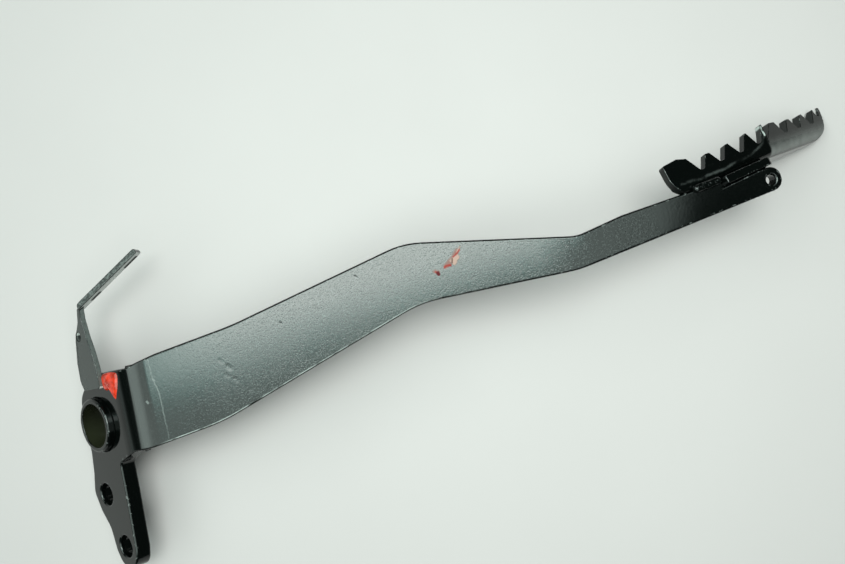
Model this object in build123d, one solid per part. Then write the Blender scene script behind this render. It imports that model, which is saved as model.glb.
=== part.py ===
from build123d import *
import os
from math import cos, radians, sin, tan

# Welded rear brake pedal: a bent plate arm with a pivot tube, a lug with two holes,
# a thin stop tab and a foot pad with two serrated rims. Millimetres.
# Working frame: x along the arm from its main bend, y across it from the pivot axis,
# z up from the arm's upper face. The finished nodes are moved to the pivot and tipped
# by LIE_PITCH and LIE_ROLL, so that the row frame's floor is level under the resting pedal.

# Arm plate
PLATE_T = 6.0
ARM_LENGTH = 241.3
BEND_ANGLE = 46.0
BEND_R = 20.0
TIP_BEND_X = ARM_LENGTH - 78.3
TIP_BEND_ANGLE = 9.0
TIP_BEND_R = 45.0
ARM_ROOT_TOP = 18.2
ARM_ROOT_LOW = -11.0
ARM_KINK = (104.2, 40.6)
TIP_HOLE_R = 1.75
TIP_HOLE_S = 74.6
TIP_HOLE_Y = 35.9

# Pivot
PIVOT_S = 22.7
BORE_R = 8.0
TUBE_R = 9.75
TUBE_FRONT = 2.6
TUBE_BACK = 7.0
TUBE_CHAMFER = 0.45
BEAD_LEG = 1.3

# Lug
LUG_REACH = 52.6
LUG_SHOULDER = -24.5
LUG_HOLE_R = 4.0
LUG_HOLES = ((29.1, -25.6), (22.9, 7.8 - LUG_REACH))

# Stop tab
TAB_T = 2.0
TAB_HOLE_R = 1.6
TAB_HOLE = (21.4, 32.3)
STRIP_DEPTH = 7.0
STRIP_START = (-13.0, 41.6)
STRIP_END = (11.4, 57.3)
STRIP_TOP = -9.8
STRIP_BEND_R = 1.8

# Foot pad
PAD_T = 3.4
PAD_H = 11.6
RIM_HEAD = 4.0
PAD_BEND_R = 3.6
PAD_BEND_IN = 1.2
NEAR_L = 44.0
NEAR_PAST = 1.2
OUTER_L = 44.2
NEAR_PITCH = 8.95
NEAR_NOTCH = 14.5
NEAR_NOTCHES = 3
LAST_NOTCH_IN = 3.1
LAST_NOTCH_MOUTH = 6.8
OUTER_PITCH = 9.95
OUTER_NOTCH = 14.8
OUTER_NOTCHES = 3
NOTCH_FLOOR = 1.8
NOTCH_MOUTH = 8.6
NOTCH_ROUND = 0.8
END_NOTCH_IN = 2.9
END_NOTCH_MOUTH = 3.4
CORNER_GAP = 6.7
CORNER_LOW = -6.5
SUPPORT_T = 3.0

LIE_PITCH = 3.314
LIE_ROLL = -1.015


def direction(yaw, drop):
    """Unit vector turned by yaw in the arm's face and dropped below it, in degrees."""
    a, b = radians(yaw), radians(drop)
    return Vector(cos(b) * cos(a), cos(b) * sin(a), -sin(b))


bend = radians(BEND_ANGLE)
plate_out = Vector(-cos(bend), 0, -sin(bend))
plate_normal = Vector(-sin(bend), 0, cos(bend))
# Plate sketches: local x runs from the bend down the plate, local y is the row's y.
plate_plane = Plane(origin=(0, 0, 0), x_dir=plate_out, z_dir=-plate_normal)
pivot_mid = plate_out * PIVOT_S - plate_normal * (PLATE_T / 2)


def on_plate(s, y, lift):
    """Point of the plate at s down from the bend, y across, lifted off its upper face."""
    return plate_out * s + plate_normal * lift + Vector(0, y, 0)


def along_normal(s, y, low, high, radius):
    """Round bar square to the pivot plate between two heights over its upper face."""
    base = Plane(origin=on_plate(s, y, low), x_dir=(0, 1, 0), z_dir=plate_normal)
    return extrude(base * Circle(radius), high - low)


def rounded(points, radii):
    """Closed outline with chosen corners rounded: radii maps a point's index to a radius."""
    face = make_face(Polyline(*points, close=True))
    for index, radius in radii.items():
        corner = Vector(*points[index], 0)
        near = min(face.vertices(), key=lambda v: (Vector(v) - corner).length)
        face = fillet(near, radius)
    return face


def sheet_blank():
    """The bent strip before its outline is cut: both bends run along y."""
    tip = radians(TIP_BEND_ANGLE)
    reach = 90.0
    tip_dir = Vector(cos(tip), 0, -sin(tip))
    tip_normal = Vector(sin(tip), 0, cos(tip))
    far = Vector(TIP_BEND_X, 0, 0) + tip_dir * reach
    low = plate_out * 48.0
    back_one = Vector(PLATE_T * tan(bend / 2), 0, -PLATE_T)
    back_two = Vector(TIP_BEND_X - PLATE_T * tan(tip / 2), 0, -PLATE_T)
    ring = [
        low,
        Vector(0, 0, 0),
        Vector(TIP_BEND_X, 0, 0),
        far,
        far - tip_normal * PLATE_T,
        back_two,
        back_one,
        low - plate_normal * PLATE_T,
    ]
    flat = [(p.X, p.Z) for p in ring]
    radii = {
        1: BEND_R,
        2: TIP_BEND_R,
        5: TIP_BEND_R - PLATE_T,
        6: BEND_R - PLATE_T,
    }
    profile = Plane.XZ * rounded(flat, radii)
    return extrude(profile, 80.0, both=True)


def arm_outline():
    """Top view of the arm from the bend to the tip."""
    points = [
        (-30, ARM_ROOT_LOW),
        (4, ARM_ROOT_LOW),
        (30.8, -7.0),
        (106.1, 18.9),
        (TIP_BEND_X - 1, 18.8),
        (ARM_LENGTH - 5.3, 31.6),
        (ARM_LENGTH, 32.6),
        (ARM_LENGTH - 1.1, 40.7),
        (ARM_LENGTH - 37.3, 37.3),
        (ARM_LENGTH - 60.8, 34.3),
        (TIP_BEND_X + 0.5, 30.5),
        ARM_KINK,
        (40, 25.2),
        (12, 21.0),
        (0, ARM_ROOT_TOP),
        (-30, ARM_ROOT_TOP),
    ]
    radii = {1: 40, 2: 70, 3: 40, 4: 40, 6: 3.9, 7: 3.9, 9: 30, 10: 14, 11: 30, 12: 80, 13: 30, 14: 20}
    return rounded(points, radii)


def plate_outline():
    """Pivot plate and its lug, seen square to the plate."""
    neck = 14.6 - LUG_REACH
    # The lug's edge turns in between its shoulder and its neck, nearer to the neck.
    waist = LUG_SHOULDER + (neck - LUG_SHOULDER) * 5 / 9
    points = [
        (-30, ARM_ROOT_TOP),
        (23.5, ARM_ROOT_TOP),
        (34, 10),
        (34, -10),
        (35.4, -17.5),
        (37.8, LUG_SHOULDER),
        (35.2, waist),
        (31.3, neck),
        (30.2, 6.6 - LUG_REACH),
        (27.4, -LUG_REACH),
        (18, -LUG_REACH),
        (15.9, 6.6 - LUG_REACH),
        (14.6, -26),
        (14.2, -14.4),
        (4, ARM_ROOT_LOW),
        (-30, ARM_ROOT_LOW),
    ]
    radii = {1: 6, 2: 8, 3: 8, 4: 8, 5: 5, 6: 6, 7: 8, 9: 5.5, 10: 5.5, 13: 3, 14: 10}
    return rounded(points, radii)


def build_arm():
    """Arm, main bend, pivot plate and lug: one bent and cut plate."""
    half = bend / 2
    cut = Plane(origin=(0, 0, 0), x_dir=(0, 1, 0), z_dir=(cos(half), 0, sin(half)))
    blank = sheet_blank()
    arm = split(blank, bisect_by=cut, keep=Keep.TOP)
    plate = split(blank, bisect_by=cut, keep=Keep.BOTTOM)
    arm &= extrude(arm_outline(), 60.0, both=True)
    plate &= extrude(plate_plane * plate_outline(), 40.0, both=True)
    body = arm + plate
    for s, y in LUG_HOLES:
        body -= along_normal(s, y, -PLATE_T - 1, 1, LUG_HOLE_R)
    body -= along_normal(PIVOT_S, 0, -PLATE_T - 1, 1, TUBE_R)
    tip = radians(TIP_BEND_ANGLE)
    spot = Vector(TIP_BEND_X + TIP_HOLE_S * cos(tip), TIP_HOLE_Y, -TIP_HOLE_S * sin(tip))
    face = Plane(origin=spot, x_dir=(0, 1, 0), z_dir=(sin(tip), 0, cos(tip)))
    body -= extrude(face * Circle(TIP_HOLE_R), 12.0, both=True)
    return body


def build_tube():
    """Pivot tube standing through the plate, with its ends chamfered outside."""
    low = -PLATE_T - TUBE_BACK
    tube = along_normal(PIVOT_S, 0, low, TUBE_FRONT, TUBE_R)
    rims = tube.edges().filter_by(GeomType.CIRCLE)
    tube = chamfer(rims, TUBE_CHAMFER)
    return tube - along_normal(PIVOT_S, 0, low - 1, TUBE_FRONT + 1, BORE_R)


def build_tube_weld():
    """Fillet bead round the tube on the plate's back face."""
    leg = BEAD_LEG * 1.5
    section = [(TUBE_R, 0), (TUBE_R + leg, 0), (TUBE_R + leg * 0.3, leg * 0.3), (TUBE_R, leg)]
    face = Plane.XZ * make_face(Polyline(*section, close=True))
    ring = revolve(face, Axis.Z)
    seat = Plane(
        origin=on_plate(PIVOT_S, 0, -PLATE_T), x_dir=(0, 1, 0), z_dir=-plate_normal
    )
    return seat * ring


def build_tab():
    """Thin tab lapped on the plate, its upper end bent into a strip that stands on edge."""
    points = [
        (25.2, 12.8),
        (26.8, 16),
        (26.4, 23),
        (23.9, 32),
        (19.6, 38),
        (18.4, 42.0),
        (16.6, 43.0),
        (17.0, 38),
        (16.2, 32),
        (14.6, 26),
        (13.8, 20),
        (14, 12.8),
    ]
    radii = {0: 1.2, 1: 3, 3: 8, 8: 20, 9: 20, 11: 1.2}
    flat = extrude(plate_plane * rounded(points, radii), -TAB_T)
    flat -= along_normal(*TAB_HOLE, -1, TAB_T + 1, TAB_HOLE_R)
    start, end = Vector(*STRIP_START, 0), Vector(*STRIP_END, 0)
    run = (end - start).normalized()
    side = Vector(-run.Y, run.X, 0)
    corners = [start, end, end + side * TAB_T, start + side * TAB_T]
    foot = make_face(Polyline(*[(p.X, p.Y) for p in corners], close=True))
    strip = Pos(0, 0, STRIP_TOP - STRIP_DEPTH) * extrude(foot, STRIP_DEPTH)
    uprights = strip.edges().filter_by(Axis.Z).sort_by(Axis.X)
    strip = fillet(uprights[-2:], 0.8)
    bent = strip.edges().filter_by(Axis.Z).sort_by(Axis.X)[0]
    return flat + fillet(bent, STRIP_BEND_R)


near_dir = direction(11.6, 20.0)
outer_dir = direction(7.7, 41.5)
pad_up = near_dir.cross(outer_dir).normalized()
PAD_CORNER = Vector(ARM_LENGTH - 2.3, 55.6, -20.2)
pad_plane = Plane(origin=PAD_CORNER - near_dir * NEAR_L, x_dir=near_dir, z_dir=pad_up)
turn = near_dir.get_angle(outer_dir)
OUTER_START = Pos(NEAR_L, 0, 0) * Rot(0, 0, turn)


def v_notch(mid, mouth, low):
    """Notch outline in a rim's side view: its middle, its width at z = 0 and its floor."""
    floor = min(NOTCH_FLOOR, mouth / 2)
    slope = (mouth - floor) / 2 / -low
    wide = floor / 2 + slope * (RIM_HEAD - low)
    points = [
        (mid - wide, RIM_HEAD),
        (mid - floor / 2, low),
        (mid + floor / 2, low),
        (mid + wide, RIM_HEAD),
    ]
    corner_r = NOTCH_ROUND * floor / NOTCH_FLOOR
    return rounded(points, {1: corner_r, 2: corner_r})


def rim(length, cuts, free_at_end, corner_rs, tops):
    """Serrated rim with its bend and a strip of web.

    x runs along the rim, z is up and the outside face is y = 0. The tops of the teeth lie
    on the straight runs of tops, from the start to the end. The free end has its lower and
    upper corner rounded. Cuts are outlines taken from the side view.
    """
    web = 14.0
    points = [
        (0, RIM_HEAD),
        (PAD_T, RIM_HEAD),
        (PAD_T, PAD_T - PAD_H),
        (web, PAD_T - PAD_H),
        (web, -PAD_H),
        (0, -PAD_H),
    ]
    section = rounded(points, {2: PAD_BEND_IN, 5: PAD_BEND_R})
    body = extrude(Plane.YZ * section, length)
    # Side view of the rim: bottom, free end with its two rounded corners, toothed top
    free, free_top = tops[-1] if free_at_end else tops[0]
    side = make_face(Polyline(*tops, (length, -PAD_H), (0, -PAD_H), close=True))
    for height, radius in zip((-PAD_H, free_top), corner_rs):
        spot = Vector(free, height, 0)
        near = min(side.vertices(), key=lambda v: (Vector(v) - spot).length)
        side = fillet(near, radius)
    for cut in cuts:
        side -= cut
    return body & extrude(Plane.XZ * side, 40.0, both=True)


def pad_local():
    """Foot pad in its own frame: x along the near rim, z out of the tread."""
    half = radians(turn / 2)
    mitre = Plane(origin=(NEAR_L, 0, 0), x_dir=(0, 0, 1), z_dir=(cos(half), sin(half), 0))
    near_mids = [NEAR_NOTCH + i * NEAR_PITCH for i in range(NEAR_NOTCHES)]
    near_cuts = [v_notch(mid, NOTCH_MOUTH, -5.7) for mid in near_mids]
    near_cuts.append(v_notch(NEAR_L - LAST_NOTCH_IN, LAST_NOTCH_MOUTH, -5.4))
    near_end = NEAR_L + NEAR_PAST
    near_tops = [(0, 0.7), (6.4, 1.2), (12, -0.6), (22, -1.4), (near_end, 0.7)]
    whole = rim(near_end, near_cuts, False, (7.5, 1.0), near_tops)
    # The near rim's last tooth stands straight on past the corner.
    past = Pos(NEAR_L, PAD_T / 2, 0) * Box(6.0, PAD_T, -2 * CORNER_LOW)
    near = split(whole, bisect_by=mitre, keep=Keep.BOTTOM) + (whole & past)
    # The outer rim's first tooth stands clear of the near rim: its start is cut on a slant.
    reach = CORNER_GAP * (RIM_HEAD - CORNER_LOW) / -CORNER_LOW
    gap = [(-6, RIM_HEAD), (-6, CORNER_LOW), (0, CORNER_LOW), (reach, RIM_HEAD)]
    outer_mids = [OUTER_NOTCH + i * OUTER_PITCH for i in range(OUTER_NOTCHES)]
    outer_cuts = [v_notch(mid, NOTCH_MOUTH, -5.0) for mid in outer_mids]
    outer_cuts.append(v_notch(OUTER_L - END_NOTCH_IN, END_NOTCH_MOUTH, -3.0))
    outer_cuts.append(make_face(Polyline(*gap, close=True)))
    outer_tops = [(0, 0.8), (22, -0.5), (OUTER_L, 0.3)]
    outer = OUTER_START * rim(OUTER_L, outer_cuts, True, (11.0, 0.6), outer_tops)
    outer = split(outer, bisect_by=mitre, keep=Keep.TOP)
    plan = [(10, 4), (43, 4), (72, 15.5), (68, 18.5), (21, 20)]
    web = Pos(0, 0, -PAD_H) * extrude(rounded(plan, {3: 3, 4: 4}), PAD_T)
    # Everything behind the web's back edge and beside its slanted end is trimmed off.
    keep = [
        (-5, -5),
        (97, -5),
        (97, 16.6),
        (82, 16.6),
        (68, 18.5),
        (21, 20),
        (9.5, PAD_T + 0.6),
        (-5, PAD_T + 0.6),
    ]
    trim = extrude(make_face(Polyline(*keep, close=True)), 40.0, both=True)
    return (near + web + outer) & trim


def support_local():
    """Flat plate under the pad that carries it on the arm's upper edge."""
    plan = [(18, -4.5), (37.5, -4.5), (39.8, -2), (39.8, 11), (22, 13), (18, 8)]
    flat = rounded(plan, {3: 3, 4: 3})
    return Pos(0, 0, -PAD_H - SUPPORT_T) * extrude(flat, SUPPORT_T)


def bead(start, end, radius):
    """Straight weld run with round ends between two points of the pad's frame."""
    run = Vector(*end) - Vector(*start)
    base = Plane(origin=start, z_dir=run)
    rod = extrude(base * Circle(radius), run.length)
    return rod + Pos(*start) * Sphere(radius) + Pos(*end) * Sphere(radius)


def place(shape):
    """Move a solid from the working frame to the row frame at the pivot."""
    tip = Rot(-LIE_ROLL, 0, 0) * Rot(0, -LIE_PITCH, 0)
    return tip * Pos(-pivot_mid.X, -pivot_mid.Y, -pivot_mid.Z) * shape


pad = pad_plane.location * pad_local()
support = pad_plane.location * support_local()
support -= pad
tab = build_tab()
tube = build_tube()
arm = build_arm() - pad - support - tab
tab -= arm
tube_weld = build_tube_weld() - tube - arm
pad_weld = bead((8.5, 0.4, -11.3), (17.0, -0.4, -11.8), 1.6)
pad_weld = pad_plane.location * pad_weld - pad - support - arm

nodes = {
    "pedal_arm": arm,
    "pivot_tube": tube,
    "tube_weld": tube_weld,
    "stop_tab": tab,
    "foot_pad": pad,
    "pad_support": support,
    "pad_weld": pad_weld,
}
os.makedirs("parts", exist_ok=True)
for name, shape in nodes.items():
    export_step(place(shape), f"parts/{name}.step")
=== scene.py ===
"""Dressed model of a welded rear brake pedal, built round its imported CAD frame.

The pedal lies on a pale floor and is seen from straight above the arm's face. All places on
the pedal are given in the arm's own frame, in millimetres: x along the arm from the main bend,
y across it from the pivot, z up from the arm's upper face. A span is a pair of values between
which something fades in; where the first value is the larger, it fades out.
"""

from __future__ import annotations

import logging
import math
from dataclasses import dataclass
from enum import Enum

import bmesh
import bpy
from mathutils import Matrix, Vector


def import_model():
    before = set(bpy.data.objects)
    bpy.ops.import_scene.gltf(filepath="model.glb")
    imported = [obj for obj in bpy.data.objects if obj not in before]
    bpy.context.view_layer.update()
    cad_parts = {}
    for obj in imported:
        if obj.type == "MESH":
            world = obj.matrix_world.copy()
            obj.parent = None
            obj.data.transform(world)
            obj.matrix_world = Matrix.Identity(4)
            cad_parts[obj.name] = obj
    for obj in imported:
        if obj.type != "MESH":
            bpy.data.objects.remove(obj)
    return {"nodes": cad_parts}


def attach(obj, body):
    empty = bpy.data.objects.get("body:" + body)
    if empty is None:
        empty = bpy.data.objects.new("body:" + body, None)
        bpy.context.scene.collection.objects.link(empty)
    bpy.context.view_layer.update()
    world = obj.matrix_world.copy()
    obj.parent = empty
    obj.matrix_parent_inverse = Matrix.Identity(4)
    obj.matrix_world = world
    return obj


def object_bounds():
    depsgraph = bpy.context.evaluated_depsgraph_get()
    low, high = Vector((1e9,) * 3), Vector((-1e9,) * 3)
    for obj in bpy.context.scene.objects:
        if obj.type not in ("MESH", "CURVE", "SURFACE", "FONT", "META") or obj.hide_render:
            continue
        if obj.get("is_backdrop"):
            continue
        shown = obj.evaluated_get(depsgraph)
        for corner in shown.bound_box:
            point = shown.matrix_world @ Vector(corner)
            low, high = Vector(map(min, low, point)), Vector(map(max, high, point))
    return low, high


LOG = logging.getLogger("pedal")
MM = 0.001
MM_IN_METRE = 1000.0
NOISE_MIDDLE = 0.5
NOISE_ROUGHNESS = 0.55
BODY = "root"

X_AXIS = Vector((1.0, 0.0, 0.0))
Y_AXIS = Vector((0.0, 1.0, 0.0))
Z_AXIS = Vector((0.0, 0.0, 1.0))

Colour = tuple[float, float, float]
Sockets = dict[str, object]
Spot = tuple[float, float]
Span = tuple[float, float]


class Crease(Enum):
    """Angle in degrees above which an edge counts as a cut edge and is rounded."""

    PLATE = 35.0
    SHEET = 28.0


@dataclass(frozen=True)
class ArmFrame:
    """The arm's own frame, and how the resting pedal tips it in the row frame.

    Attributes:
        pitch, roll: Angles in degrees by which the arm's far end and the lug's side are lifted.
        bend, bend_r: Angle in degrees of the main bend, and radius of its upper face.
        pivot_s, plate_t: Distance of the pivot down the plate from the bend line, and thickness.
    """

    pitch: float = 3.314
    roll: float = -1.015
    bend: float = 46.0
    bend_r: float = 20.0
    pivot_s: float = 22.7
    plate_t: float = 6.0

    def turn(self) -> Matrix:
        """Rotation from the arm's frame to the row frame."""
        pitched = Matrix.Rotation(math.radians(-self.pitch), 3, "Y")
        return Matrix.Rotation(math.radians(-self.roll), 3, "X") @ pitched

    def down_plate(self) -> Vector:
        """Unit vector from the bend down the pivot plate, in the arm's frame."""
        angle = math.radians(self.bend)
        return Vector((-math.cos(angle), 0.0, -math.sin(angle)))

    def plate_normal(self) -> Vector:
        """Unit normal of the pivot plate's upper face, in the arm's frame."""
        angle = math.radians(self.bend)
        return Vector((-math.sin(angle), 0.0, math.cos(angle)))

    def pivot(self) -> Vector:
        """Row frame's origin, in the arm's frame."""
        return self.down_plate() * self.pivot_s - self.plate_normal() * (self.plate_t / 2)

    def axis(self, direction: Vector) -> Vector:
        """Direction of the arm's frame, in the row frame."""
        return self.turn() @ direction

    def point(self, place: Vector) -> Vector:
        """Point of the arm's frame, in the row frame and in metres."""
        return self.turn() @ (place - self.pivot()) * MM

    def on_bend(self, arc: float, y: float, lift: float) -> Vector:
        """Point over the upper face, followed round the main bend.

        Args:
            arc: Length along the face from the bend's upper tangent line.
            y: Place across the plate.
            lift: Height over the face.

        Returns:
            The point in the row frame, in metres.
        """
        tangent = self.bend_r * math.tan(math.radians(self.bend) / 2)
        whole = math.radians(self.bend) * self.bend_r
        angle = min(arc, whole) / self.bend_r
        outward = Vector((-math.sin(angle), 0.0, math.cos(angle)))
        centre = Vector((tangent, y, -self.bend_r))
        place = centre + outward * (self.bend_r + lift)
        return self.point(place + self.down_plate() * max(0.0, arc - whole))


ARM_FRAME = ArmFrame()


class Value:
    """A number in a node tree. Sums on it add Math nodes."""

    def __init__(self, graph: Graph, socket: bpy.types.NodeSocket) -> None:
        """Wrap an output socket of a graph."""
        self.graph = graph
        self.socket = socket

    def _math(self, operation: str, first: Value | float, second: Value | float = 0.0) -> Value:
        """Add one Math node.

        Args:
            operation: Name of the Math node's operation.
            first: First operand.
            second: Second operand, unused by operations of one operand.

        Returns:
            The node's result.
        """
        node = self.graph.node("ShaderNodeMath", {"operation": operation}, {0: first, 1: second})
        return Value(self.graph, node.outputs[0])

    def __add__(self, other: Value | float) -> Value:
        """Sum."""
        return self._math("ADD", self, other)

    def __radd__(self, other: float) -> Value:
        """Sum with a number in front."""
        return self._math("ADD", other, self)

    def __sub__(self, other: Value | float) -> Value:
        """Difference."""
        return self._math("SUBTRACT", self, other)

    def __rsub__(self, other: float) -> Value:
        """Difference from a number."""
        return self._math("SUBTRACT", other, self)

    def __mul__(self, other: Value | float) -> Value:
        """Product."""
        return self._math("MULTIPLY", self, other)

    def __rmul__(self, other: float) -> Value:
        """Product with a number in front."""
        return self._math("MULTIPLY", other, self)

    def __truediv__(self, other: Value | float) -> Value:
        """Quotient."""
        return self._math("DIVIDE", self, other)

    def at_least(self, other: Value | float) -> Value:
        """Larger of the two."""
        return self._math("MAXIMUM", self, other)

    def at_most(self, other: Value | float) -> Value:
        """Smaller of the two."""
        return self._math("MINIMUM", self, other)

    def above(self, other: Value | float) -> Value:
        """One where this is above the other, else nought."""
        return self._math("GREATER_THAN", self, other)

    def root(self) -> Value:
        """Square root."""
        return self._math("SQRT", self)

    def ramp(self, low: float, high: float) -> Value:
        """Smooth step between two values.

        Args:
            low: Value at which it is nought, which may be the larger one.
            high: Value at which it is one.

        Returns:
            The step.
        """
        settings = {"interpolation_type": "SMOOTHSTEP", "clamp": True}
        inputs = {0: self, 1: low, 2: high, 3: 0.0, 4: 1.0}
        if low > high:
            inputs = {0: self, 1: high, 2: low, 3: 1.0, 4: 0.0}
        node = self.graph.node("ShaderNodeMapRange", settings, inputs)
        return Value(self.graph, node.outputs[0])

    def fade(self, span: Span, least: float) -> Value:
        """Smooth step over a span, from a least share up to one."""
        return self.ramp(*span) * (1.0 - least) + least


class Graph:
    """A node tree that is filled by Python expressions."""

    def __init__(self, tree: bpy.types.NodeTree) -> None:
        """Start from an empty tree."""
        self.tree = tree
        tree.nodes.clear()

    def node(
        self,
        kind: str,
        settings: dict[str, object] | None = None,
        inputs: dict[int | str, object] | None = None,
    ) -> bpy.types.Node:
        """Add any node.

        Args:
            kind: The node's type name.
            settings: Properties, which are set before the sockets.
            inputs: Values, colours or links of the sockets, by index or name.

        Returns:
            The new node.
        """
        made = self.tree.nodes.new(kind)
        for name, setting in (settings or {}).items():
            setattr(made, name, setting)
        for key, given in (inputs or {}).items():
            socket = made.inputs[key]
            if isinstance(given, Value):
                self.tree.links.new(given.socket, socket)
            elif isinstance(given, bpy.types.NodeSocket):
                self.tree.links.new(given, socket)
            elif socket.type == "RGBA":
                socket.default_value = (*given, 1.0)
            else:
                socket.default_value = given
        return made

    def place(self) -> bpy.types.NodeSocket:
        """Point of the surface in the row frame, in metres."""
        return self.node("ShaderNodeTexCoord").outputs["Object"]

    def heading(self) -> bpy.types.NodeSocket:
        """Direction of the sky, for a world."""
        return self.node("ShaderNodeTexCoord").outputs["Generated"]

    def dot(self, vector: bpy.types.NodeSocket, axis: Vector) -> Value:
        """Length of a vector along an axis."""
        node = self.node("ShaderNodeVectorMath", {"operation": "DOT_PRODUCT"}, {0: vector, 1: axis})
        return Value(self, node.outputs["Value"])

    def along(self, axis: Vector) -> Value:
        """Place of the surface along an axis of the arm's frame, from the pivot, in millimetres."""
        return self.dot(self.place(), ARM_FRAME.axis(axis)) * MM_IN_METRE

    def arm_place(self) -> tuple[Value, Value, Value]:
        """Point of the surface in the arm's frame, in millimetres."""
        pivot = ARM_FRAME.pivot()
        return self.along(X_AXIS) + pivot.x, self.along(Y_AXIS) + pivot.y, self.along(Z_AXIS) + pivot.z

    def mix(self, factor: Value | float, low: object, high: object) -> bpy.types.NodeSocket:
        """Blend of two colours.

        Args:
            factor: Share of the high colour.
            low: Colour or colour socket where the factor is nought.
            high: Colour or colour socket where the factor is one.

        Returns:
            The blended colour.
        """
        node = self.node("ShaderNodeMix", {"data_type": "RGBA"}, {0: factor, 6: low, 7: high})
        return node.outputs[2]

    def bump(self, height: Value) -> bpy.types.NodeSocket:
        """Normal that follows a height in millimetres."""
        inputs = {"Strength": 1.0, "Distance": MM, "Height": height}
        return self.node("ShaderNodeBump", None, inputs).outputs[0]

    def facing(self, direction: Vector) -> Value:
        """How far the surface faces a direction of the arm's frame, from -1 to 1."""
        normal = self.node("ShaderNodeNewGeometry").outputs["True Normal"]
        return self.dot(normal, ARM_FRAME.axis(direction))

    def stroke(self, x: Value, y: Value, line: tuple[Spot, ...]) -> Value:
        """Distance from a line of straight runs.

        Args:
            x: Place along the first axis.
            y: Place along the second axis.
            line: The line's points.

        Returns:
            The distance, in the same unit.
        """
        nearest: Value | None = None
        for (ax, ay), (bx, by) in zip(line, line[1:]):
            run_x, run_y = bx - ax, by - ay
            square = run_x * run_x + run_y * run_y
            from_x, from_y = x - ax, y - ay
            share = from_x * (run_x / square) + from_y * (run_y / square)
            share = share.at_least(0.0).at_most(1.0)
            off_x, off_y = from_x - share * run_x, from_y - share * run_y
            gap = (off_x * off_x + off_y * off_y).root()
            nearest = gap if nearest is None else nearest.at_most(gap)
        return nearest

    def output(self, kind: str, socket: bpy.types.NodeSocket) -> None:
        """Link the tree's result."""
        self.node(kind, None, {"Surface": socket})


@dataclass(frozen=True)
class Grain:
    """Cloudy noise, which may be cut to patches.

    Attributes:
        size, detail: Size of its grains in millimetres, and how many finer layers it has.
        cut: Span of the noise over which a patch fades in.
    """

    size: float
    detail: float = 2.0
    cut: Span = (0.0, 1.0)

    def noise(self, graph: Graph) -> Value:
        """The uncut noise, from nought to one.

        Args:
            graph: The material's graph.

        Returns:
            The noise.
        """
        inputs = {
            "Vector": graph.place(),
            "Scale": 1.0 / (self.size * MM),
            "Detail": self.detail,
            "Roughness": NOISE_ROUGHNESS,
        }
        return Value(graph, graph.node("ShaderNodeTexNoise", None, inputs).outputs[0])

    def wander(self, graph: Graph) -> Value:
        """The uncut noise about nought, for lines that wander."""
        return self.noise(graph) - NOISE_MIDDLE

    def patches(self, graph: Graph) -> Value:
        """One in a patch and nought between the patches."""
        return self.noise(graph).ramp(*self.cut)


@dataclass(frozen=True)
class Coat:
    """What shows instead of the paint where that is worn, chipped or dirty.

    Attributes:
        colour: Its colour.
        cover: Share of the paint that it hides.
        rough: Roughness that it adds.
    """

    colour: Colour
    cover: float = 1.0
    rough: float = 0.0

    def lay(self, graph: Graph, made: Sockets, share: Value) -> None:
        """Lay it over a shader's sockets.

        Args:
            graph: The material's graph.
            made: The sockets, which are changed.
            share: Where it lies, from nought to one.
        """
        made["Base Color"] = graph.mix(share * self.cover, made["Base Color"], self.colour)
        made["Roughness"] = made["Roughness"] + share * self.rough


@dataclass(frozen=True)
class Scrape:
    """A worn line on a painted face.

    Attributes:
        line, width: Its points in two directions of the face, and the span of its soft edge.
        wander, breaks: How far it wanders each way in millimetres, and how it is broken up.
        coat: What shows in it.
    """

    line: tuple[Spot, ...]
    width: Span
    wander: Spot
    breaks: Grain
    coat: Coat

    def share(self, graph: Graph, x: Value, y: Value, wander: Value) -> Value:
        """Where the line shows, from nought to one.

        Args:
            graph: The material's graph.
            x: Place in the first direction.
            y: Place in the second direction.
            wander: Noise about nought.

        Returns:
            The share.
        """
        far_x, far_y = self.wander
        off = graph.stroke(x + wander * far_x, y + wander * far_y, self.line)
        return off.ramp(*self.width) * self.breaks.patches(graph)


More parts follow.
